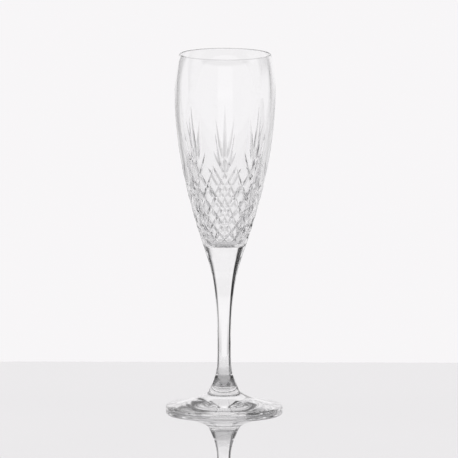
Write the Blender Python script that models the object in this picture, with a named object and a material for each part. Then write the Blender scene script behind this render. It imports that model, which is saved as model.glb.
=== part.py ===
"""A cut-crystal champagne flute, 222 mm tall, modelled as the three pieces of glass that it is made from.

A blown bowl, a drawn stem and a pressed foot are fused end to end while hot, and the bowl is then cut on
a mitre wheel: a lattice of diamonds round its lower half, with a fan of three leaves over every second one.
The frame is +Z up, in metres, and its origin is the centre of the ring that the foot stands on.
"""

import math
from typing import NamedTuple

import bmesh
import bpy
from mathutils import Vector
from mathutils.geometry import interpolate_bezier

MM = 0.001


class Knot(NamedTuple):
    """A point that an outline passes through, leaning outwards by lean for each unit of height.

    The outline is drawn out along that lean as far as below and above say, in height.
    """

    radius: float
    z: float
    lean: float = 0.0
    below: float = 0.0
    above: float = 0.0


# Outside, from the foot to the rim
HEIGHT = 222.2 * MM
LIP_ROUND = 0.45 * MM
FOOT_EDGE_ROUND = 1.1 * MM
FOOT_EDGE = Knot(35.1 * MM, 2.8 * MM, lean=-7.0, above=2.0 * MM)
FOOT_JOINT = Knot(9.8 * MM, 11.2 * MM, lean=-0.51, below=2.1 * MM, above=10.5 * MM)
WAIST = Knot(4.15 * MM, 37.4 * MM, below=12.0 * MM, above=40.5 * MM)
BOWL_JOINT = Knot(10.97 * MM, 95.7 * MM, lean=0.30, below=8.5 * MM, above=6.9 * MM)
BELLY = Knot(31.3 * MM, 197.2 * MM, below=46.8 * MM, above=3.2 * MM)
RIM = Knot(28.5 * MM, HEIGHT - LIP_ROUND, lean=-0.37, below=6.7 * MM)
FUSED_GAP = 0.3 * MM  # clearance that keeps the three solids apart at a fused joint

# The hollow of the bowl
WALL_AT_RIM = 0.9 * MM
WALL_AT_BELLY = 0.9 * MM
CAVITY_FLOOR_Z = 103.0 * MM
CUP_FLOOR = 5.4 * MM  # radius of the flat part of the hollow's floor
CUP_ROUND = 4.2 * MM  # radius of the corner round it
CUP_LEAN = 0.38
CUP_ABOVE = 41.5 * MM
INNER_BELLY = Knot(BELLY.radius - WALL_AT_BELLY, BELLY.z, below=20.0 * MM, above=4.0 * MM)
INNER_RIM = RIM._replace(radius=RIM.radius - WALL_AT_RIM)

# The foot's underside
REST_RING_INNER = 29.5 * MM
UNDERSIDE_RISE = 0.8 * MM

# Cutting pattern
FANS = 8
COLUMNS = 2 * FANS  # diamonds round the bowl
HALF_PITCH = math.pi / COLUMNS
CROWN_Z = 143.5 * MM  # the highest crossing of the lattice
FIRST_HALF_ROW = 7.7 * MM
ROW_RATIO = 0.885  # each half row is this share of the one above it
LATTICE_END = 6.7  # half rows below the crown where the cuts run out
LONG_START = -1.5  # long cuts rise past the crown and frame a fan
SHORT_START = -0.4
MITRE_DEPTH = 0.7 * MM
MITRE_DEPTH_SHRINK = 0.035  # share of its depth that a cut loses with each half row
MITRE_SPREAD = 2.0  # half the width of a cut over its depth
MITRE_RUN_OUT = 0.9  # half rows over which a cut comes up to the surface
RECUT_SHALLOWER = 0.03 * MM  # cuts made second are this much shallower, so that no two edges coincide
LEAF_DEPTH = 0.62 * MM
LEAVES = (  # angle at the foot, angle at the tip, height of the foot, height of the tip
    (0.0, 0.0, 148.7 * MM, 191.2 * MM),
    (math.radians(3.4), math.radians(12.6), 150.7 * MM, 180.2 * MM),
    (math.radians(-3.4), math.radians(-12.6), 150.7 * MM, 180.2 * MM),
)
LEAF_DEEPEST = 0.25  # share of a leaf's length, from its foot, where it is deepest
LEAF_TAPER = 1.3  # 1 for a leaf that comes up evenly to its ends, 2 for one that is full until near them
PROUD = 0.5 * MM  # how far a cutter stands out of the glass
LIFT = 0.12 * MM  # how far a cutter's edge is above the glass at its ends

# Fineness
BOWL_SEGMENTS = 32
STEM_SEGMENTS = 32
FOOT_SEGMENTS = 48
CORNER_STEPS = 3
UNDERSIDE_STEPS = 5
MITRE_STATION = 1.1  # half rows between the stations of a cut
LEAF_STATIONS = 6
SHARP_ANGLE = math.radians(35)
MERGE = 0.0001 * MM

CRYSTAL_COLOUR = (0.93, 0.95, 0.96, 1.0)
CRYSTAL_ROUGHNESS = 0.02
CRYSTAL_IOR = 1.545


def clear_scene():
    for obj in list(bpy.data.objects):
        bpy.data.objects.remove(obj)


def slid(knot, rise):
    """The knot moved up along its own lean."""
    return knot._replace(radius=knot.radius + knot.lean * rise, z=knot.z + rise)


def span(low, high, steps):
    """Points (radius, height) of the outline from one knot up to the next."""
    leave = slid(low, low.above)
    arrive = slid(high, -high.below)
    ends = [Vector((knot.radius, 0.0, knot.z)) for knot in (low, leave, arrive, high)]
    return [(point.x, point.z) for point in interpolate_bezier(*ends, steps + 1)]


def corner(centre_r, centre_z, radius, first, last):
    """Points along a round corner between two angles, which are measured from outwards to up."""
    angles = [first + (last - first) * i / CORNER_STEPS for i in range(CORNER_STEPS + 1)]
    return [(centre_r + radius * math.cos(a), centre_z + radius * math.sin(a)) for a in angles]


def bowl_outside(joint):
    """The bowl's outer outline, from its joint with the stem up to the rim."""
    return span(joint, BELLY, steps=9) + span(BELLY, RIM, steps=5)


def bowl_inside():
    """The hollow's outline, from its lowest point on the axis up to the rim."""
    tilt = math.atan(CUP_LEAN)
    centre_z = CAVITY_FLOOR_Z + CUP_ROUND
    bottom = corner(CUP_FLOOR, centre_z, CUP_ROUND, -math.pi / 2, -tilt)
    cup = Knot(*bottom[-1], lean=CUP_LEAN, above=CUP_ABOVE)
    wall = span(cup, INNER_BELLY, steps=7) + span(INNER_BELLY, INNER_RIM, steps=4)
    return [(0.0, CAVITY_FLOOR_Z)] + bottom + wall


def bowl_outline():
    joint = slid(BOWL_JOINT, FUSED_GAP / 2)
    lip_out = corner(RIM.radius - LIP_ROUND, RIM.z, LIP_ROUND, 0.0, math.pi / 2)
    lip_in = corner(INNER_RIM.radius + LIP_ROUND, RIM.z, LIP_ROUND, math.pi / 2, math.pi)
    return [(0.0, joint.z)] + bowl_outside(joint) + lip_out + lip_in + bowl_inside()[::-1]


def stem_outline():
    low = slid(FOOT_JOINT, FUSED_GAP / 2)
    top = slid(BOWL_JOINT, -FUSED_GAP / 2)
    return [(0.0, low.z)] + span(low, WAIST, steps=8) + span(WAIST, top, steps=11) + [(0.0, top.z)]


def foot_outline():
    top = slid(FOOT_JOINT, -FUSED_GAP / 2)
    shares = [i / UNDERSIDE_STEPS for i in range(UNDERSIDE_STEPS + 1)]
    hollow = [(REST_RING_INNER * share, UNDERSIDE_RISE * (1 - share**2)) for share in shares]
    low_edge = corner(FOOT_EDGE.radius, FOOT_EDGE_ROUND, FOOT_EDGE_ROUND, -math.pi / 2, 0.0)
    top_edge = corner(FOOT_EDGE.radius, FOOT_EDGE.z - FOOT_EDGE_ROUND, FOOT_EDGE_ROUND, 0.0, math.pi / 2)
    return hollow + low_edge + top_edge + span(FOOT_EDGE, top, steps=9) + [(0.0, top.z)]


def turned(name, outline, segments, material):
    """A solid of revolution about Z, from an outline that starts and ends on the axis."""
    bm = bmesh.new()
    verts = [bm.verts.new((r, 0.0, z)) for r, z in outline]
    edges = [bm.edges.new(pair) for pair in zip(verts, verts[1:])]
    bmesh.ops.spin(
        bm,
        geom=verts + edges,
        cent=(0.0, 0.0, 0.0),
        axis=(0.0, 0.0, 1.0),
        angle=math.tau,
        steps=segments,
        use_merge=True,
    )
    bmesh.ops.remove_doubles(bm, verts=bm.verts, dist=MERGE)
    obj = finished(name, bm, material)
    obj.data.shade_smooth()
    obj.data.set_sharp_from_angle(angle=SHARP_ANGLE)
    return obj


def finished(name, bm, material):
    bmesh.ops.recalc_face_normals(bm, faces=bm.faces)
    mesh = bpy.data.meshes.new(name)
    bm.to_mesh(mesh)
    bm.free()
    mesh.materials.append(material)
    obj = bpy.data.objects.new(name, mesh)
    bpy.context.scene.collection.objects.link(obj)
    return obj


def outer_radius(z, outline):
    """The radius of the bowl's outside at height z, read off its outline."""
    for (r0, z0), (r1, z1) in zip(outline, outline[1:]):
        if z0 <= z <= z1 and z0 < z1:
            return r0 + (r1 - r0) * (z - z0) / (z1 - z0)
    raise ValueError("the height is off the bowl")


def on_bowl(angle, z, outline):
    """A point on the bowl's outside and the way out from it."""
    step = 0.5 * MM
    lean = (outer_radius(z + step, outline) - outer_radius(z - step, outline)) / (2 * step)
    out = Vector((math.cos(angle), math.sin(angle), 0.0))
    point = out * outer_radius(z, outline) + Vector((0.0, 0.0, z))
    return point, (out - Vector((0.0, 0.0, lean))).normalized()


def add_cutter(bm, stations):
    """A V-shaped bar along the bowl, from stations of (point, way out, depth of its edge)."""
    rings = []
    for i, (point, out, depth) in enumerate(stations):
        ahead = stations[min(i + 1, len(stations) - 1)][0]
        behind = stations[max(i - 1, 0)][0]
        side = (ahead - behind).cross(out).normalized() * (depth + PROUD) * MITRE_SPREAD
        edge = point - out * depth
        back = point + out * PROUD
        rings.append([bm.verts.new(co) for co in (edge, back + side, back - side)])
    for near, far in zip(rings, rings[1:]):
        for a, b in ((0, 1), (1, 2), (2, 0)):
            bm.faces.new((near[a], near[b], far[b], far[a]))
    bm.faces.new(rings[0])
    bm.faces.new(reversed(rings[-1]))


def lattice_z(rows):
    """The height of the lattice this many half rows below the crown."""
    return CROWN_Z - FIRST_HALF_ROW * (1 - ROW_RATIO**rows) / (1 - ROW_RATIO)


def lifted(deepest, share):
    """The depth of a cutter's edge that is at LIFT above the glass for share 0 and at its deepest for 1."""
    return (deepest + LIFT) * share - LIFT


def mitre_stations(angle, direction, start, deepest, outline):
    """Stations of one slanting cut that passes the crown's height at this angle."""
    steps = round((LATTICE_END - start) / MITRE_STATION)
    stations = []
    for i in range(steps + 1):
        rows = start + (LATTICE_END - start) * i / steps
        point, out = on_bowl(angle + direction * rows * HALF_PITCH, lattice_z(rows), outline)
        to_end = min(rows - start, LATTICE_END - rows, MITRE_RUN_OUT)
        share = 1 - (1 - to_end / MITRE_RUN_OUT) ** 2
        depth = deepest * (1 - MITRE_DEPTH_SHRINK * max(rows, 0.0))
        stations.append((point, out, lifted(depth, share)))
    return stations


def mitre_cutters(name, direction, deepest, outline, material):
    """All the cuts of the lattice that slant one way, which are long and short by turns."""
    bm = bmesh.new()
    for column in range(COLUMNS):
        start = SHORT_START if column % 2 else LONG_START
        add_cutter(bm, mitre_stations(2 * column * HALF_PITCH, direction, start, deepest, outline))
    return as_cutter(finished(name, bm, material))


def leaf_stations(angle, leaf, outline):
    """Stations of one leaf: a wheel enters and leaves the glass along an arc."""
    foot_angle, tip_angle, foot_z, tip_z = leaf
    stations = []
    for i in range(LEAF_STATIONS + 1):
        s = i / LEAF_STATIONS
        leaf_angle = angle + foot_angle + (tip_angle - foot_angle) * s
        point, out = on_bowl(leaf_angle, foot_z + (tip_z - foot_z) * s, outline)
        length = LEAF_DEEPEST if s < LEAF_DEEPEST else 1 - LEAF_DEEPEST
        share = 1 - (abs(s - LEAF_DEEPEST) / length) ** LEAF_TAPER
        stations.append((point, out, lifted(LEAF_DEPTH, share)))
    return stations


def leaf_cutters(name, outline, material):
    bm = bmesh.new()
    for fan in range(FANS):
        for leaf in LEAVES:
            add_cutter(bm, leaf_stations(math.tau * fan / FANS, leaf, outline))
    return as_cutter(finished(name, bm, material))


def as_cutter(obj):
    obj.hide_render = True
    obj.display_type = "WIRE"
    return obj


def cut(obj, cutter):
    modifier = obj.modifiers.new(cutter.name, "BOOLEAN")
    modifier.operation = "DIFFERENCE"
    modifier.object = cutter


def crystal():
    material = bpy.data.materials.new("crystal")
    material.use_nodes = True
    shader = material.node_tree.nodes["Principled BSDF"]
    shader.inputs["Base Color"].default_value = CRYSTAL_COLOUR
    shader.inputs["Roughness"].default_value = CRYSTAL_ROUGHNESS
    shader.inputs["Metallic"].default_value = 0.0
    shader.inputs["IOR"].default_value = CRYSTAL_IOR
    shader.inputs["Transmission Weight"].default_value = 1.0
    return material


def build():
    clear_scene()
    glass = crystal()
    outside = bowl_outside(BOWL_JOINT)
    bowl = turned("bowl", bowl_outline(), BOWL_SEGMENTS, glass)
    turned("stem", stem_outline(), STEM_SEGMENTS, glass)
    turned("foot", foot_outline(), FOOT_SEGMENTS, glass)
    cut(bowl, mitre_cutters("mitres_turning_left", 1, MITRE_DEPTH, outside, glass))
    cut(bowl, mitre_cutters("mitres_turning_right", -1, MITRE_DEPTH - RECUT_SHALLOWER, outside, glass))
    cut(bowl, leaf_cutters("leaf_cuts", outside, glass))


build()
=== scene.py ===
"""Looks of a cut-crystal champagne flute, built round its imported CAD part.

The three CAD solids (bowl, stem and foot) are each replaced by a finer piece with the same outline. The
cuts in the bowl are real shape: each is a V with true flanks, and meets the cuts it crosses along sharp
ridges. Lengths are in metres, +Z is up, and the camera looks along +Y.
"""

import math
from typing import Callable, NamedTuple

import bpy
import numpy as np
from mathutils import Matrix, Vector
from mathutils.geometry import delaunay_2d_cdt


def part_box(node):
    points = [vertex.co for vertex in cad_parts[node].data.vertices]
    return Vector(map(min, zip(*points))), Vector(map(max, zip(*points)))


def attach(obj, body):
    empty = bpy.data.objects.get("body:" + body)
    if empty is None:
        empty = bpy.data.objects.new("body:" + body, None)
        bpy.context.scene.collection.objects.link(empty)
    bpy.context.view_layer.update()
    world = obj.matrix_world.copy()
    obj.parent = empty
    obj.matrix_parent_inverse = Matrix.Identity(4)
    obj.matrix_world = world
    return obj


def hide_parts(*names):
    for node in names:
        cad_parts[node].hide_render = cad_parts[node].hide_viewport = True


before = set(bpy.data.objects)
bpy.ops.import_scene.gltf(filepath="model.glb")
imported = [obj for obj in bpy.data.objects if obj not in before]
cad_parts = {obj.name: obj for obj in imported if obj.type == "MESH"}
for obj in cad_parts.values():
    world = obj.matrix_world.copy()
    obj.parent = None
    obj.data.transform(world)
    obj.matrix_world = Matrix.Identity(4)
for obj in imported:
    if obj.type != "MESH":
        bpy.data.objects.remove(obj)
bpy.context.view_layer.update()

MM = 0.001
CURVE_RISE = 0.75  # a cubic curve rises this share of the way to its two middle control points


class Knot(NamedTuple):
    """A point that an outline passes through, leaning outwards by lean for each unit of height.

    The outline is drawn out along that lean as far as below and above say, in height.
    """

    radius: float
    z: float
    lean: float = 0.0
    below: float = 0.0
    above: float = 0.0


class Finish(NamedTuple):
    """How a surface of the crystal was left: its roughness, and the size of its grain and of its waves."""

    smoothest: float
    roughest: float
    grain_size: float
    wave_size: float
    wave_height: float


class Gap(NamedTuple):
    """A dark gap beside the backdrop: where it starts and ends, as angles from the backdrop's middle."""

    fades: float
    dark: float
    ends: float
    lit: float


def degrees(*angles):
    """Angles in degrees, as radians."""
    return tuple(math.radians(angle) for angle in angles)


def node_reach(node):
    """The radius and the height that a CAD node reaches, to a thousandth of a millimetre."""
    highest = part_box(node)[1]
    return round(highest[0], 6), round(highest[2], 6)


def joint_height(lower, upper):
    """The height of the fused joint between a CAD node and the one that stands on it."""
    return round((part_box(lower)[1][2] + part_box(upper)[0][2]) / 2, 6)


# Outside, from the foot to the rim
BELLY_RADIUS, HEIGHT = node_reach("bowl")
FOOT_RADIUS, _ = node_reach("foot")
LIP_RISE = 0.45 * MM
FOOT_EDGE_ROUND = 1.1 * MM
FOOT_EDGE = Knot(FOOT_RADIUS - FOOT_EDGE_ROUND, 2.8 * MM, lean=-7.0, above=2.0 * MM)
FOOT_JOINT = Knot(9.8 * MM, joint_height("foot", "stem"), lean=-0.51, below=2.1 * MM, above=10.5 * MM)
WAIST = Knot(4.15 * MM, 37.4 * MM, below=12.0 * MM, above=40.5 * MM)
BOWL_JOINT = Knot(10.97 * MM, joint_height("stem", "bowl"), lean=0.30, below=8.5 * MM, above=6.9 * MM)
BELLY = Knot(BELLY_RADIUS, 197.2 * MM, below=46.8 * MM, above=3.2 * MM)
RIM = Knot(28.5 * MM, HEIGHT - LIP_RISE, lean=-0.37, below=6.7 * MM, above=LIP_RISE / CURVE_RISE)

# The hollow of the bowl
WALL_AT_RIM = 0.9 * MM
WALL_AT_BELLY = 0.9 * MM
CAVITY_FLOOR_Z = 103.0 * MM
CUP_FLOOR = 5.4 * MM  # radius of the flat part of the hollow's floor
CUP_ROUND = 4.2 * MM  # radius of the corner round it
CUP_LEAN = 0.38  # of the wall just above that corner
CUP_ABOVE = 41.5 * MM
INNER_BELLY = Knot(BELLY.radius - WALL_AT_BELLY, BELLY.z, below=20.0 * MM, above=4.0 * MM)
INNER_RIM = RIM._replace(radius=RIM.radius - WALL_AT_RIM)

# The foot's underside
REST_RING_INNER = 29.5 * MM
UNDERSIDE_RISE = 0.8 * MM

# Cutting pattern
FANS = 8
FIRST_FAN = -math.pi / 2  # the direction of one fan, towards -Y
COLUMNS = 2 * FANS  # diamonds round the bowl
HALF_PITCH = math.pi / COLUMNS
SECTOR = 2 * HALF_PITCH  # from the middle of a fan to the middle of the space beside it
CROWN_Z = 143.5 * MM  # the highest crossing of the lattice
FIRST_HALF_ROW = 7.7 * MM
ROW_RATIO = 0.885  # each half row is this share of the one above it
LATTICE_END = 6.7  # half rows below the crown where the cuts run out
CROSSINGS = np.arange(math.ceil(LATTICE_END) + 1)  # half rows below the crown of each row of crossings
LONG_START = -1.5  # long cuts rise past the crown and frame a fan
SHORT_START = -0.4
MITRE_DEPTH = 0.7 * MM
MITRE_DEPTH_SHRINK = 0.035  # share of its depth that a cut loses with each half row
MITRE_SPREAD = 2.0  # half the width of a cut over its depth
MITRE_RUN_OUT = 0.9  # half rows over which a cut comes up to the surface
LEAF_DEPTH = 0.62 * MM
LEAVES = (  # angle at the foot, angle at the tip, height of the foot, height of the tip, for half a fan
    (0.0, 0.0, 148.7 * MM, 191.2 * MM),
    (*degrees(3.4, 12.6), 150.7 * MM, 180.2 * MM),
)
LEAF_DEEPEST = 0.25  # share of a leaf's length, from its foot, where it is deepest
LEAF_TAPER = 1.3  # 1 for a leaf that comes up evenly to its ends, 2 for one that is full until near them
LIFT = 0.12 * MM  # how far the wheel is above the glass where a cut ends

# Fineness
SECTOR_STEPS = 12
WALL_STEPS = (400, 100)  # from the joint to the belly and on to the rim, to work out the cuts by
INSIDE_STEPS = (90, 26)  # from the corner of the floor to the belly and on to the rim
STEM_STEPS = (60, 100)  # from the foot to the waist and on to the bowl
FOOT_STEPS = 60
UNDERSIDE_POINTS = 24
ROUND_STEPS = 10
STEM_SEGMENTS = 128
FOOT_SEGMENTS = 192
LINE_STEP = 0.45 * MM  # between points along the edges of a cut
LEAST_STEPS = 4  # points along a cut, however short it is
CLOSEST_STEP = 0.1 * MM
SEARCH_STEPS = 800  # along a cut, to find where the wheel enters and leaves the glass
REACH_STEPS = 60  # along a cut, to find whether it comes into the sector
GRID_CLEARANCE = 0.5  # of a grid square, kept free beside the edges of a cut
MIDLINE_END = 7.5  # half rows below the crown, just past the cuts
SHORTEST_EDGE = 0.06 * MM
MERGE = 1e-4  # of a grid square, within which two points of the mesh are one
TINY = 1e-5  # a rounding error, in radians or millimetres

# The material slots of a piece
POLISHED, CUT, FUSED = range(3)

# Crystal
CRYSTAL_COLOUR = (0.995, 0.996, 0.997, 1.0)
CRYSTAL_IOR = 1.545
FIRE_POLISHED = Finish(0.0, 0.008, grain_size=6.0 * MM, wave_size=14.0 * MM, wave_height=0.02 * MM)
WHEEL_CUT = Finish(0.04, 0.1, grain_size=0.5 * MM, wave_size=1.5 * MM, wave_height=0.006 * MM)
GRAIN_DETAIL = 3.0
WAVE_DETAIL = 1.0
GRAIN_SPREAD = (0.3, 0.7)  # of the noise, from the smoothest to the roughest
GLASS_BOUNCES = 64  # light can turn this often among the cuts before it comes out
FUSED_BOUNCES = 16  # through fused joints and past the table's edges

# Studio: how bright each part of it is. Each pair of angles is where a change starts and where it ends,
# either round, from the middle of the backdrop to both sides, or up from level.
STUDIO_COLOUR = (1.0, 0.985, 0.997, 1.0)
BACKDROP_LIGHT = 0.935
ROOM_LIGHT = 0.85  # beyond the gaps
WINDOW_LIGHT = 1.15  # behind the camera
WINDOW_EDGE = degrees(160, 165)  # round
GAP_LIGHT = 0.02
LEFT_GAP = Gap(*degrees(30, 35, 57, 69))
RIGHT_GAP = Gap(*degrees(33, 53, 84, 94))
GAP_FOOT = degrees(-20, -10)  # up
GAP_FOOT_LIFT = math.radians(16)  # how much higher its foot is at its far side
GAP_FOOT_LIFTED = degrees(46, 58)  # round
FLOOR_LEFT = 0.62
FLOOR_RIGHT = 0.72
FLOOR_MIDDLE = degrees(-15, 15)  # round, from left to right
FLOOR_BESIDE = 0.85
FLOOR_SIDES = degrees(30, 45)  # round
FLOOR_UNDER = 0.95
FLOOR_NEAR = degrees(-30, -25)  # up
FLOOR_EDGE = degrees(-16, -11)  # up, where it gives way to the walls
FLOOR_LIFT = math.radians(7)  # how much higher that edge is at the sides
FLOOR_LIFTED = degrees(11, 21)  # round
CEILING_EDGE = degrees(15, 21)  # up
CEILING_AHEAD = 0.75
CEILING_BESIDE = 1.0
CEILING_SIDES = degrees(50, 85)  # round
CEILING_BEHIND = 0.04
CEILING_REAR = degrees(110, 125)  # round
OVERHEAD_EDGE = degrees(55, 65)  # up
OVERHEAD_AHEAD = 1.05
OVERHEAD_BEHIND = 0.8
OVERHEAD_MIDDLE = (-0.2, 0.2)  # forward, as a share of the distance

# Table
TABLE_DEPTH = 200.0 * MM  # from the glass to the table's far edge
TABLE_FRONT = 330.0 * MM  # from the glass to its near edge
TABLE_SIZE = 3.0  # of the square sheet that the table is a strip of
TABLE_GAP = 0.02 * MM  # under the foot, so that the two faces don't coincide
TABLE_COLOUR = (0.86, 0.86, 0.87, 1.0)
LACQUER_COLOUR = (0.99, 0.99, 0.99, 1.0)
LACQUER_ROUGHNESS = 0.015
LACQUER_HEAD_ON = 0.05  # share of the light that it reflects straight back
LACQUER_POWER = 1.5  # of the growth of that share towards a grazing view

# Camera
VIEW_WIDTH = 283.6 * MM  # across the whole picture, at the glass
ELEVATION = math.radians(8.0)
ROLL = math.radians(0.17)
AIM = Vector((2.7 * MM, 0.0, 112.8 * MM))
CAMERA_DISTANCE = 12.0  # so far that the view is nearly parallel
SENSOR = 36.0


def slid(knot, rise):
    """The knot moved up along its own lean."""
    return knot._replace(radius=knot.radius + knot.lean * rise, z=knot.z + rise)


def curve(knots, steps):
    """Points (radius, height) along one cubic curve, from its four control points."""
    t = np.linspace(0.0, 1.0, steps + 1)[:, None]
    weights = np.hstack([(1 - t) ** 3, 3 * t * (1 - t) ** 2, 3 * t**2 * (1 - t), t**3])
    return weights @ np.array([(knot.radius, knot.z) for knot in knots])


def span(low, high, steps):
    """Points (radius, height) of the outline from one knot up to the next."""
    return curve((low, slid(low, low.above), slid(high, -high.below), high), steps)


def corner(centre_r, centre_z, radius, first, last, steps):
    """Points along a round corner between two angles, which are measured from outwards to up."""
    angles = np.linspace(first, last, steps + 1)
    return np.column_stack([centre_r + radius * np.cos(angles), centre_z + radius * np.sin(angles)])


def joined(*stretches):
    """One outline from stretches that each start where the last one ended."""
    return np.vstack([stretches[0]] + [stretch[1:] for stretch in stretches[1:]])


def lip():
    """The fire-polished lip, over the top of the wall from outside to inside."""
    return curve((RIM, slid(RIM, RIM.above), slid(INNER_RIM, RIM.above), INNER_RIM), ROUND_STEPS)


def bowl_inside():
    """The hollow's outline, from the rim down to the flat of its floor."""
    tilt = math.atan(CUP_LEAN)
    centre_z = CAVITY_FLOOR_Z + CUP_ROUND
    bottom = corner(CUP_FLOOR, centre_z, CUP_ROUND, -math.pi / 2, -tilt, ROUND_STEPS)
    cup = Knot(*bottom[-1], lean=CUP_LEAN, above=CUP_ABOVE)
    low_steps, high_steps = INSIDE_STEPS
    wall = joined(span(cup, INNER_BELLY, low_steps), span(INNER_BELLY, INNER_RIM, high_steps))
    return joined(bottom, wall)[::-1]


def stem_outside():
    """The stem's outline, from the foot up to the bowl."""
    low_steps, high_steps = STEM_STEPS
    return joined(span(FOOT_JOINT, WAIST, low_steps), span(WAIST, BOWL_JOINT, high_steps))


def foot_outside():
    """The foot's outline, from the middle of its underside round the edge up to the stem."""
    shares = np.linspace(0.0, 1.0, UNDERSIDE_POINTS)
    hollow = np.column_stack([REST_RING_INNER * shares, UNDERSIDE_RISE * (1 - shares**2)])
    slope_side = math.atan2(-FOOT_EDGE.lean, 1.0)
    low_edge = corner(FOOT_EDGE.radius, FOOT_EDGE_ROUND, FOOT_EDGE_ROUND, -math.pi / 2, 0.0, ROUND_STEPS)
    high_z = FOOT_EDGE.z - FOOT_EDGE_ROUND
    high_edge = corner(FOOT_EDGE.radius, high_z, FOOT_EDGE_ROUND, 0.0, slope_side, ROUND_STEPS)
    slope_start = FOOT_EDGE._replace(radius=high_edge[-1][0], z=high_edge[-1][1])
    return np.vstack([hollow, low_edge, high_edge, span(slope_start, FOOT_JOINT, FOOT_STEPS)[1:]])


class Wall:
    """The bowl's outside by height. Plotted against angle, its stretched height keeps shapes true."""

    def __init__(self):
        low_steps, high_steps = WALL_STEPS
        outline = joined(span(BOWL_JOINT, BELLY, low_steps), span(BELLY, RIM, high_steps))
        self.radii, self.heights = outline.T
        self.leans = np.gradient(self.radii, self.heights)
        lengths = np.hypot(np.diff(self.radii), np.diff(self.heights))
        between = (self.radii[1:] + self.radii[:-1]) / 2
        self.stretched = np.concatenate([[0.0], np.cumsum(lengths / between)])

    def radius(self, z):
        return np.interp(z, self.heights, self.radii)

    def lean(self, z):
        return np.interp(z, self.heights, self.leans)

    def stretch(self, z):
        return np.interp(z, self.heights, self.stretched)

    def unstretch(self, stretched):
        return np.interp(stretched, self.stretched, self.heights)

    def point(self, angle, z, rise):
        """Points that stand off the wall by rise, along the way out from it."""
        lean = self.lean(z)
        out = rise / np.sqrt(1 + lean**2)
        radius = self.radius(z) + out
        return np.column_stack([radius * np.cos(angle), radius * np.sin(angle), z - lean * out])


WALL = Wall()


class Cut(NamedTuple):
    """One pass of the wheel: the angle and the depth of its line by height, between two heights."""

    line: Callable
    depth: Callable
    low: float
    high: float


def lattice_z(rows):
    """The height of the lattice this many half rows below the crown."""
    return CROWN_Z - FIRST_HALF_ROW * (1 - ROW_RATIO**rows) / (1 - ROW_RATIO)


def lattice_rows(z):
    """How many half rows below the crown a height is."""
    return np.log(1 - (CROWN_Z - z) * (1 - ROW_RATIO) / FIRST_HALF_ROW) / math.log(ROW_RATIO)


def lifted(deepest, share):
    """The depth of a wheel that is at LIFT above the glass for share 0 and at its deepest for 1."""
    return (deepest + LIFT) * share - LIFT


def mitre(column, direction):
    """A slanting cut that crosses the crown's height at this column: long and short ones take turns."""
    start = SHORT_START if column % 2 else LONG_START

    def line(z):
        return 2 * column * HALF_PITCH + direction * lattice_rows(z) * HALF_PITCH

    def depth(z):
        rows = lattice_rows(z)
        to_end = np.clip(np.minimum(rows - start, LATTICE_END - rows), 0.0, MITRE_RUN_OUT)
        deepest = MITRE_DEPTH * (1 - MITRE_DEPTH_SHRINK * np.maximum(rows, 0.0))
        return lifted(deepest, 1 - (1 - to_end / MITRE_RUN_OUT) ** 2)

    return Cut(line, depth, lattice_z(LATTICE_END), lattice_z(start))


def leaf_cut(foot_angle, tip_angle, foot_z, tip_z):
    """One leaf of a fan, which is deepest near its foot."""

    def line(z):
        return foot_angle + (tip_angle - foot_angle) * (z - foot_z) / (tip_z - foot_z)

    def depth(z):
        s = np.clip((z - foot_z) / (tip_z - foot_z), 0.0, 1.0)
        length = np.where(s < LEAF_DEEPEST, LEAF_DEEPEST, 1 - LEAF_DEEPEST)
        return lifted(LEAF_DEPTH, 1 - (np.abs(s - LEAF_DEEPEST) / length) ** LEAF_TAPER)

    return Cut(line, depth, foot_z, tip_z)


def slant(cut, z):
    """How much longer the cut's line is than the height it climbs, at true shape."""
    step = 0.05 * MM
    turned = cut.line(z + step) - cut.line(z - step)
    climbed = WALL.stretch(z + step) - WALL.stretch(z - step)
    return np.sqrt(1 + (turned / climbed) ** 2)


def offset(cut, angle, z):
    """The distance along the wall from the cut's line, positive to its left."""
    return WALL.radius(z) * (angle - cut.line(z)) / slant(cut, z)


def flank(cut, side, angle, z):
    """The depth of one flank of a cut, as if it went on past its edges."""
    return cut.depth(z) - side * offset(cut, angle, z) / MITRE_SPREAD


def sector_cuts():
    """Every cut that comes into the sector."""
    furthest = math.ceil(LATTICE_END / 2) + 1
    columns = range(-furthest, furthest + 1)
    cuts = [mitre(column, direction) for column in columns for direction in (-1, 1)]
    cuts += [leaf_cut(*leaf) for leaf in LEAVES]
    return [cut for cut in cuts if comes_in(cut)]


def comes_in(cut):
    """Whether a cut's line comes into the sector, or so close that its flank may."""
    margin = HALF_PITCH / 2
    line = cut.line(np.linspace(cut.low, cut.high, REACH_STEPS))
    return bool(np.any((line > -margin) & (line < SECTOR + margin)))


def cut_lines(cut):
    """The cut's line and its two edges, as points (angle, height), where the wheel is in the glass."""
    dense = np.linspace(cut.low, cut.high, SEARCH_STEPS)
    inside = dense[cut.depth(dense) > 0]
    low, high = inside[0], inside[-1]
    count = max(LEAST_STEPS, round((high - low) * np.mean(slant(cut, inside)) / LINE_STEP))
    crossings = [z for z in lattice_z(CROSSINGS) if low < z < high]
    z = np.unique(np.concatenate([np.linspace(low, high, count), crossings]))
    z = z[np.concatenate([[True], np.diff(z) > CLOSEST_STEP])]
    half_width = MITRE_SPREAD * np.maximum(cut.depth(z), 0.0) * slant(cut, z) / WALL.radius(z)
    half_width[[0, -1]] = 0.0
    return [np.column_stack([cut.line(z) + side * half_width, z]) for side in (-1, 0, 1)]


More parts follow.
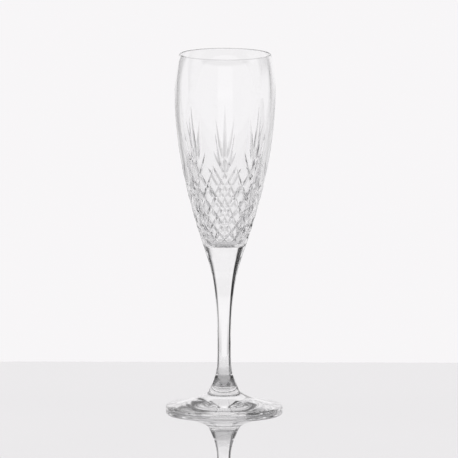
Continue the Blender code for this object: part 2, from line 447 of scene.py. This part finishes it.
def clipped(line):
    """The stretches of a line that lie in the sector, ended exactly on its sides."""
    stretches = []
    stretch = []
    for here, there in zip(line, line[1:]):
        if 0 <= here[0] <= SECTOR:
            stretch.append(here)
        for side in (0.0, SECTOR):
            if (here[0] - side) * (there[0] - side) < 0:
                share = (side - here[0]) / (there[0] - here[0])
                stretch.append(np.array([side, here[1] + share * (there[1] - here[1])]))
        if stretch and not 0 <= there[0] <= SECTOR:
            stretches.append(stretch)
            stretch = []
    if stretch:
        stretches.append(stretch + [line[-1]])
    return [np.array(stretch) for stretch in stretches if len(stretch) > 1]


def sector_grid(lines):
    """Points (angle, height) on an even grid, without those close to a line."""
    columns = np.linspace(0.0, SECTOR, SECTOR_STEPS + 1)
    rows = round(WALL.stretched[-1] / columns[1])
    levels = WALL.unstretch(np.linspace(0.0, WALL.stretched[-1], rows + 1))
    angle, z = (values.ravel() for values in np.meshgrid(columns, levels))
    marks = np.vstack(lines)
    near = np.zeros(len(angle), bool)
    for i in range(len(angle)):
        across = (marks[:, 0] - angle[i]) / columns[1]
        along = (WALL.stretch(marks[:, 1]) - WALL.stretch(z[i])) / columns[1]
        near[i] = np.min(np.hypot(across, along)) < GRID_CLEARANCE
    ends = (z == levels[0]) | (z == levels[-1])
    keep = ends | ~near
    return np.column_stack([angle[keep], z[keep]])


def guide_lines():
    """Lines besides the cuts that the triangles keep to: the sector's outline and rows of crossings."""
    low, high = WALL.heights[[0, -1]]
    lines = [[(0.0, low), (0.0, high)], [(SECTOR, low), (SECTOR, high)]]
    lines += [[(0.0, z), (SECTOR, z)] for z in (low, high)]
    lines.append([(HALF_PITCH, lattice_z(MIDLINE_END)), (HALF_PITCH, CROWN_Z)])
    lines += [[(0.0, z), (SECTOR, z)] for z in lattice_z(CROSSINGS)]
    return [np.array(line) for line in lines]


def sector_mesh(cuts):
    """Triangles of the sector, with every edge of a cut and every ridge between cuts on triangle edges."""
    cut_edges = [stretch for cut in cuts for line in cut_lines(cut) for stretch in clipped(line)]
    points = [sector_grid(cut_edges)]
    edges = []
    count = len(points[0])
    for line in cut_edges + guide_lines():
        points.append(line)
        edges += [(count + i, count + i + 1) for i in range(len(line) - 1)]
        count += len(line)
    return without_slivers(*triangulated(np.vstack(points), edges))


def triangulated(points, edges):
    """Points (angle, height) joined into triangles at true shape: their angles, heights and triangles."""
    unit = SECTOR / SECTOR_STEPS
    plan = np.column_stack([points[:, 0], WALL.stretch(points[:, 1])]) / unit
    found, _, faces, *_ = delaunay_2d_cdt([Vector(p) for p in plan], edges, [], 0, MERGE)
    angle, stretched = np.array([tuple(p) for p in found]).T * unit
    angle[np.abs(angle) < TINY] = 0.0
    angle[np.abs(angle - SECTOR) < TINY] = SECTOR
    return angle, WALL.unstretch(stretched), np.array(faces)


def without_slivers(angle, z, faces):
    """The mesh with its shortest edges drawn together, but no point pulled off the sector's outline."""
    points = WALL.point(angle, z, 0.0)
    pairs = np.vstack([faces[:, [0, 1]], faces[:, [1, 2]], faces[:, [2, 0]]])
    lengths = np.linalg.norm(points[pairs[:, 0]] - points[pairs[:, 1]], axis=1)
    on_side = np.isin(angle, (0.0, SECTOR))
    on_end = np.isin(z, (z.min(), z.max()))
    held = on_side + 2 * on_end
    target = np.arange(len(angle))
    for i in np.argsort(lengths):
        if lengths[i] > SHORTEST_EDGE:
            break
        a, b = (target[j] for j in pairs[i])
        if a != b:
            keep, drop = (a, b) if held[a] >= held[b] else (b, a)
            target[target == drop] = keep
    faces = target[faces]
    whole = (faces[:, 0] != faces[:, 1]) & (faces[:, 1] != faces[:, 2]) & (faces[:, 2] != faces[:, 0])
    used, faces = np.unique(faces[whole], return_inverse=True)
    return angle[used], z[used], faces.reshape(-1, 3)


def winners(cuts, angle, z):
    """Which cut is deepest at each point (-1 for none), on which side of its line, and how deep."""
    deepest = np.zeros(len(angle))
    winner = np.full(len(angle), -1)
    side = np.ones(len(angle))
    for i, cut in enumerate(cuts):
        over = offset(cut, angle, z)
        depth = cut.depth(z) - np.abs(over) / MITRE_SPREAD
        depth = np.where((z >= cut.low) & (z <= cut.high), depth, -1.0)
        wins = depth > deepest
        deepest[wins] = depth[wins]
        winner[wins] = i
        side[wins] = np.sign(over[wins])
    return winner, side, deepest


def surface(cut, side, angle, z):
    """Points on one flank of a cut, or on the plain wall where there is none."""
    rise = np.zeros(len(angle)) if cut is None else -flank(cut, side, angle, z)
    return WALL.point(angle, z, rise)


def way_out(cut, side, angle, z):
    """The way out of one flank of a cut, or of the plain wall where there is none."""
    step = 0.02 * MM
    turn = step / WALL.radius(z)
    across = surface(cut, side, angle + turn, z) - surface(cut, side, angle - turn, z)
    along = surface(cut, side, angle, z + step) - surface(cut, side, angle, z - step)
    normals = np.cross(across, along)
    return normals / np.linalg.norm(normals, axis=1)[:, None]


def corner_normals(cuts, winner, side, angle, z):
    """The way out at each point, for the flank or the plain wall that its triangle lies on."""
    normals = np.zeros((len(angle), 3))
    for i, cut in [(-1, None), *enumerate(cuts)]:
        mine = winner == i
        if mine.any():
            normals[mine] = way_out(cut, side[mine], angle[mine], z[mine])
    return normals


def around(radius, z, angles):
    """Points at one radius and height, at each of the angles."""
    return np.column_stack([radius * np.cos(angles), radius * np.sin(angles), np.full(len(angles), z)])


class Skin:
    """Vertices and faces being gathered, with a normal for each corner and a material for each face."""

    def __init__(self):
        self.points = np.zeros((0, 3))
        self.faces = []
        self.normals = []
        self.materials = []

    def add_points(self, points):
        """Adds vertices and returns their numbers."""
        first = len(self.points)
        self.points = np.vstack([self.points, points])
        return np.arange(first, len(self.points))

    def add_faces(self, faces, normals, material):
        self.faces += [tuple(int(i) for i in face) for face in faces]
        self.normals += [np.asarray(corners) for corners in normals]
        self.materials += [material] * len(faces)

    def band(self, low, high, low_normals, high_normals, material):
        """Quads between two rings. Seen from outside, low is under high."""
        faces = np.column_stack([low, np.roll(low, -1), np.roll(high, -1), high])
        next_low, next_high = (np.roll(normals, -1, 0) for normals in (low_normals, high_normals))
        self.add_faces(faces, np.stack([low_normals, next_low, next_high, high_normals], 1), material)

    def cap(self, ring, z, normal, material):
        """Triangles from a ring to a point on the axis."""
        centre = self.add_points(np.array([[0.0, 0.0, z]]))[0]
        pairs = (np.roll(ring, -1), ring) if normal[2] < 0 else (ring, np.roll(ring, -1))
        faces = np.column_stack([*pairs, np.full(len(ring), centre)])
        self.add_faces(faces, np.tile(normal, (len(ring), 3, 1)), material)

    def sweep(self, outline, angles, first, material):
        """Rings along an outline, joined by quads, from a first ring that is there already to the last."""
        tangents = np.gradient(outline, axis=0)
        tangents /= np.linalg.norm(tangents, axis=1)[:, None]
        normals = [around(climb, -growth, angles) for growth, climb in tangents]
        rings = [first] + [self.add_points(around(radius, z, angles)) for radius, z in outline[1:]]
        for i in range(len(rings) - 1):
            self.band(rings[i], rings[i + 1], normals[i], normals[i + 1], material)
        return rings[-1]

    def piece(self, name, materials):
        """The finished object, with its materials in the order of the slots."""
        mesh = bpy.data.meshes.new(name)
        mesh.from_pydata(self.points.tolist(), [], self.faces)
        for material in materials:
            mesh.materials.append(material)
        mesh.polygons.foreach_set("material_index", self.materials)
        mesh.polygons.foreach_set("use_smooth", [True] * len(self.faces))
        mesh.normals_split_custom_set(np.vstack(self.normals).tolist())
        obj = bpy.data.objects.new(name, mesh)
        bpy.context.scene.collection.objects.link(obj)
        return obj


def sector_places():
    """How the sector is laid round the bowl, as it is and mirrored by turns."""
    places = []
    for half in range(2 * FANS):
        turn = Matrix.Rotation(FIRST_FAN + math.tau * ((half + 1) // 2) / FANS, 3, "Z")
        flip = Matrix.Diagonal((1.0, -1.0 if half % 2 else 1.0, 1.0))
        places.append(np.array(turn @ flip))
    return places


def sector():
    """The sector's angles, points, faces, corner normals, and which of its faces are cut."""
    cuts = sector_cuts()
    angle, z, faces = sector_mesh(cuts)
    winner, side, _ = winners(cuts, angle[faces].mean(1), z[faces].mean(1))
    _, _, depth = winners(cuts, angle, z)
    corners = faces.ravel()
    normals = corner_normals(cuts, np.repeat(winner, 3), np.repeat(side, 3), angle[corners], z[corners])
    return angle, WALL.point(angle, z, -depth), faces, normals.reshape(-1, 3, 3), winner >= 0


def add_cut_wall(skin):
    """The bowl's outside: the sector and its mirror image all the way round, joined along their sides."""
    angle, points, faces, normals, is_cut = sector()
    ids = np.full(len(angle), -1)
    first_ids = ids
    for half, place in enumerate(sector_places()):
        mirrored = half % 2 == 1
        ids = np.where(angle == (SECTOR if mirrored else 0.0), ids, -1)
        if half == 2 * FANS - 1:
            ids = np.where(angle == 0.0, first_ids, ids)
        new = ids < 0
        ids[new] = skin.add_points(points[new] @ place.T)
        order = [2, 1, 0] if mirrored else [0, 1, 2]
        placed_normals = (normals @ place.T)[:, order]
        for material, chosen in ((CUT, is_cut), (POLISHED, ~is_cut)):
            skin.add_faces(ids[faces[chosen]][:, order], placed_normals[chosen], material)
        if half == 0:
            first_ids = ids


def ring_at(skin, z):
    """The vertices at one height, in order of angle from the first fan."""
    found = np.where(np.abs(skin.points[:, 2] - z) < TINY * MM)[0]
    turn = (np.arctan2(skin.points[found, 1], skin.points[found, 0]) - FIRST_FAN) % math.tau
    return found[np.argsort(np.where(turn > math.tau - TINY, 0.0, turn))]


def make_bowl(materials):
    skin = Skin()
    add_cut_wall(skin)
    angles = FIRST_FAN + np.arange(2 * FANS * SECTOR_STEPS) * SECTOR / SECTOR_STEPS
    rim = ring_at(skin, WALL.heights[-1])
    foot = ring_at(skin, WALL.heights[0])
    over_lip = skin.sweep(lip(), angles, rim, POLISHED)
    inside = bowl_inside()
    last = skin.sweep(inside, angles, over_lip, POLISHED)
    skin.cap(last, inside[-1][1], (0.0, 0.0, 1.0), POLISHED)
    skin.cap(foot, WALL.heights[0], (0.0, 0.0, -1.0), FUSED)
    return skin.piece("bowl_crystal", materials)


def make_stem(materials):
    skin = Skin()
    angles = np.arange(STEM_SEGMENTS) * math.tau / STEM_SEGMENTS
    outline = stem_outside()
    low = skin.add_points(around(*outline[0], angles))
    top = skin.sweep(outline, angles, low, POLISHED)
    skin.cap(low, outline[0][1], (0.0, 0.0, -1.0), FUSED)
    skin.cap(top, outline[-1][1], (0.0, 0.0, 1.0), FUSED)
    return skin.piece("stem_crystal", materials)


def make_foot(materials):
    skin = Skin()
    angles = np.arange(FOOT_SEGMENTS) * math.tau / FOOT_SEGMENTS
    outline = foot_outside()
    low = skin.add_points(around(*outline[1], angles))
    top = skin.sweep(outline[1:], angles, low, POLISHED)
    skin.cap(low, outline[0][1], (0.0, 0.0, -1.0), POLISHED)
    skin.cap(top, outline[-1][1], (0.0, 0.0, 1.0), FUSED)
    return skin.piece("foot_crystal", materials)


class Nodes:
    """A node tree under construction."""

    def __init__(self, tree):
        tree.nodes.clear()
        self.tree = tree

    def add(self, kind, inputs=None, **settings):
        node = self.tree.nodes.new(kind)
        for name, value in settings.items():
            setattr(node, name, value)
        for name, value in (inputs or {}).items():
            self.feed(value, node.inputs[name])
        return node

    def feed(self, value, socket):
        if isinstance(value, bpy.types.NodeSocket):
            self.tree.links.new(value, socket)
        else:
            socket.default_value = value

    def math(self, operation, *values):
        return self.add("ShaderNodeMath", dict(enumerate(values)), operation=operation).outputs[0]

    def vector(self, operation, *values):
        node = self.add("ShaderNodeVectorMath", dict(enumerate(values)), operation=operation)
        return node.outputs["Value" if operation == "DOT_PRODUCT" else "Vector"]

    def ramp(self, value, low, high, start=0.0, end=1.0):
        """A smooth step from start to end as value goes from low to high."""
        inputs = {"Value": value, "From Min": low, "From Max": high, "To Min": start, "To Max": end}
        node = self.add("ShaderNodeMapRange", inputs, interpolation_type="SMOOTHSTEP")
        return node.outputs["Result"]

    def blend(self, share, first, second):
        """The first value for share 0, the second for share 1."""
        return self.add("ShaderNodeMix", {"Factor": share, "A": first, "B": second}).outputs[0]


def camera_axes(nodes):
    """The level directions ahead of the camera and to its right."""
    settings = {"vector_type": "VECTOR", "convert_from": "CAMERA", "convert_to": "WORLD"}
    ahead = nodes.add("ShaderNodeVectorTransform", {"Vector": (0.0, 0.0, 1.0)}, **settings)
    level = nodes.vector("NORMALIZE", nodes.vector("MULTIPLY", ahead.outputs[0], (1.0, 1.0, 0.0)))
    right = nodes.vector("CROSS_PRODUCT", level, (0.0, 0.0, 1.0))
    return level, right


class Studio:
    """A white backdrop ahead of the camera, a dark gap at each side of it, and a bright room behind."""

    def __init__(self, nodes):
        self.nodes = nodes
        way = nodes.add("ShaderNodeTexCoord").outputs["Generated"]
        ahead, aside = camera_axes(nodes)
        self.forward = nodes.vector("DOT_PRODUCT", way, ahead)
        self.turn = nodes.math("ARCTAN2", nodes.vector("DOT_PRODUCT", way, aside), self.forward)
        self.away = nodes.math("ABSOLUTE", self.turn)
        up = nodes.add("ShaderNodeSeparateXYZ", {"Vector": way}).outputs["Z"]
        self.rise = nodes.math("ARCSINE", up)
        on_right = nodes.math("GREATER_THAN", self.turn, 0.0)
        edges = zip(LEFT_GAP, RIGHT_GAP)
        self.gap = Gap(*(nodes.math("MULTIPLY_ADD", on_right, right - left, left) for left, right in edges))

    def walls(self):
        """The backdrop, the room beyond the gaps and the window behind the camera."""
        room = self.nodes.ramp(self.away, self.gap.fades, self.gap.dark, BACKDROP_LIGHT, ROOM_LIGHT)
        return self.nodes.blend(self.nodes.ramp(self.away, *WINDOW_EDGE), room, WINDOW_LIGHT)

    def floor(self):
        """The light from below, which differs ahead, at the sides and close to the glass."""
        ahead = self.nodes.ramp(self.turn, *FLOOR_MIDDLE, FLOOR_LEFT, FLOOR_RIGHT)
        far = self.nodes.blend(self.nodes.ramp(self.away, *FLOOR_SIDES), ahead, FLOOR_BESIDE)
        return self.nodes.blend(self.nodes.ramp(self.rise, *FLOOR_NEAR), FLOOR_UNDER, far)

    def ceiling(self):
        """The light from above the walls, which is dark behind the camera."""
        before = self.nodes.ramp(self.away, *CEILING_SIDES, CEILING_AHEAD, CEILING_BESIDE)
        return self.nodes.blend(self.nodes.ramp(self.away, *CEILING_REAR), before, CEILING_BEHIND)

    def overhead(self):
        """The light from straight above."""
        return self.nodes.ramp(self.forward, *OVERHEAD_MIDDLE, OVERHEAD_BEHIND, OVERHEAD_AHEAD)

    def above(self, edge, lift, lifted_at):
        """0 below an edge and 1 above it, where the edge is higher by lift at the sides."""
        lift_here = self.nodes.ramp(self.away, *lifted_at, 0.0, lift)
        return self.nodes.ramp(self.nodes.math("SUBTRACT", self.rise, lift_here), *edge)

    def in_gap(self):
        """1 in a dark gap and 0 outside it."""
        entered = self.nodes.ramp(self.away, self.gap.fades, self.gap.dark)
        passed = self.nodes.ramp(self.away, self.gap.ends, self.gap.lit)
        beside = self.nodes.math("SUBTRACT", entered, passed)
        return self.nodes.math("MULTIPLY", beside, self.above(GAP_FOOT, GAP_FOOT_LIFT, GAP_FOOT_LIFTED))

    def light(self):
        """How bright the studio is, whichever way it is looked at."""
        over_floor = self.above(FLOOR_EDGE, FLOOR_LIFT, FLOOR_LIFTED)
        light = self.nodes.blend(over_floor, self.floor(), self.walls())
        light = self.nodes.blend(self.nodes.ramp(self.rise, *CEILING_EDGE), light, self.ceiling())
        light = self.nodes.blend(self.in_gap(), light, GAP_LIGHT)
        return self.nodes.blend(self.nodes.ramp(self.rise, *OVERHEAD_EDGE), light, self.overhead())


def make_world():
    world = bpy.data.worlds.new("studio")
    bpy.context.scene.world = world
    world.use_nodes = True
    nodes = Nodes(world.node_tree)
    inputs = {"Color": STUDIO_COLOUR, "Strength": Studio(nodes).light()}
    shader = nodes.add("ShaderNodeBackground", inputs)
    nodes.add("ShaderNodeOutputWorld", {"Surface": shader.outputs[0]})


def new_material(name):
    material = bpy.data.materials.new(name)
    material.use_nodes = True
    return material, Nodes(material.node_tree)


def crystal(name, finish):
    """Clear lead crystal, a little uneven in its shine and very slightly wavy."""
    material, nodes = new_material(name)
    place = nodes.add("ShaderNodeTexCoord").outputs["Object"]
    wave_inputs = {"Vector": place, "Scale": 1 / finish.wave_size, "Detail": WAVE_DETAIL}
    waves = nodes.add("ShaderNodeTexNoise", wave_inputs).outputs["Fac"]
    grain_inputs = {"Vector": place, "Scale": 1 / finish.grain_size, "Detail": GRAIN_DETAIL}
    grain = nodes.add("ShaderNodeTexNoise", grain_inputs).outputs["Fac"]
    bump = nodes.add("ShaderNodeBump", {"Height": waves, "Distance": finish.wave_height})
    shader = nodes.add(
        "ShaderNodeBsdfPrincipled",
        {
            "Base Color": CRYSTAL_COLOUR,
            "Roughness": nodes.ramp(grain, *GRAIN_SPREAD, finish.smoothest, finish.roughest),
            "IOR": CRYSTAL_IOR,
            "Transmission Weight": 1.0,
            "Normal": bump.outputs["Normal"],
        },
    )
    nodes.add("ShaderNodeOutputMaterial", {"Surface": shader.outputs[0]})
    return material


def fused():
    """Glass with no surface in it, where two pieces are fused."""
    material, nodes = new_material("crystal_fused")
    shader = nodes.add("ShaderNodeBsdfTransparent")
    nodes.add("ShaderNodeOutputMaterial", {"Surface": shader.outputs[0]})
    return material


def lacquered():
    """White lacquer that mirrors most at a grazing view, and nothing past the table's two edges."""
    material, nodes = new_material("table_gloss")
    matt = nodes.add("ShaderNodeBsdfDiffuse", {"Color": TABLE_COLOUR})
    shine = nodes.add("ShaderNodeBsdfGlossy", {"Color": LACQUER_COLOUR, "Roughness": LACQUER_ROUGHNESS})
    grazing = nodes.add("ShaderNodeLayerWeight", {"Blend": 0.5}).outputs["Facing"]
    growth = nodes.math("POWER", grazing, LACQUER_POWER)
    share = nodes.math("MULTIPLY_ADD", growth, 1 - LACQUER_HEAD_ON, LACQUER_HEAD_ON)
    lacquer = nodes.add("ShaderNodeMixShader", {0: share, 1: matt.outputs[0], 2: shine.outputs[0]})
    ahead, _ = camera_axes(nodes)
    place = nodes.add("ShaderNodeNewGeometry").outputs["Position"]
    depth = nodes.vector("DOT_PRODUCT", place, ahead)
    beyond = nodes.math("GREATER_THAN", depth, TABLE_DEPTH)
    before = nodes.math("LESS_THAN", depth, -TABLE_FRONT)
    off = nodes.math("MAXIMUM", beyond, before)
    clear = nodes.add("ShaderNodeBsdfTransparent")
    mix = nodes.add("ShaderNodeMixShader", {0: off, 1: lacquer.outputs[0], 2: clear.outputs[0]})
    nodes.add("ShaderNodeOutputMaterial", {"Surface": mix.outputs[0]})
    return material


def make_table():
    """A flat table under the foot, which is a stage and not part of the object."""
    mesh = bpy.data.meshes.new("table_top")
    side = TABLE_SIZE / 2
    corners = [(-side, -side), (side, -side), (side, side), (-side, side)]
    mesh.from_pydata([(x, y, -TABLE_GAP) for x, y in corners], [], [(0, 1, 2, 3)])
    mesh.materials.append(lacquered())
    table = bpy.data.objects.new("table_top", mesh)
    bpy.context.scene.collection.objects.link(table)


def make_camera():
    data = bpy.data.cameras.new("camera")
    data.sensor_width = SENSOR
    data.lens = SENSOR * CAMERA_DISTANCE / VIEW_WIDTH
    data.clip_end = 2 * CAMERA_DISTANCE
    camera = bpy.data.objects.new("camera", data)
    bpy.context.scene.collection.objects.link(camera)
    back = Vector((0.0, -math.cos(ELEVATION), math.sin(ELEVATION)))
    facing = (-back).to_track_quat("-Z", "Y").to_matrix() @ Matrix.Rotation(ROLL, 3, "Z")
    camera.matrix_world = Matrix.Translation(AIM + back * CAMERA_DISTANCE) @ facing.to_4x4()
    bpy.context.scene.camera = camera


def set_light_paths():
    """Lets light go through as many surfaces as cut glass has."""
    scene = bpy.context.scene
    scene.cycles.max_bounces = GLASS_BOUNCES
    scene.cycles.transmission_bounces = GLASS_BOUNCES
    scene.cycles.glossy_bounces = GLASS_BOUNCES
    scene.cycles.transparent_max_bounces = FUSED_BOUNCES
    scene.view_settings.view_transform = "Standard"


def build():
    materials = [crystal("crystal_polished", FIRE_POLISHED), crystal("crystal_cut", WHEEL_CUT), fused()]
    pieces = {
        "bowl": make_bowl(materials),
        "stem": make_stem(materials),
        "foot": make_foot(materials),
    }
    for node, piece in pieces.items():
        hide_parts(node)
        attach(piece, "root")
    make_world()
    make_table()
    make_camera()
    set_light_paths()


build()
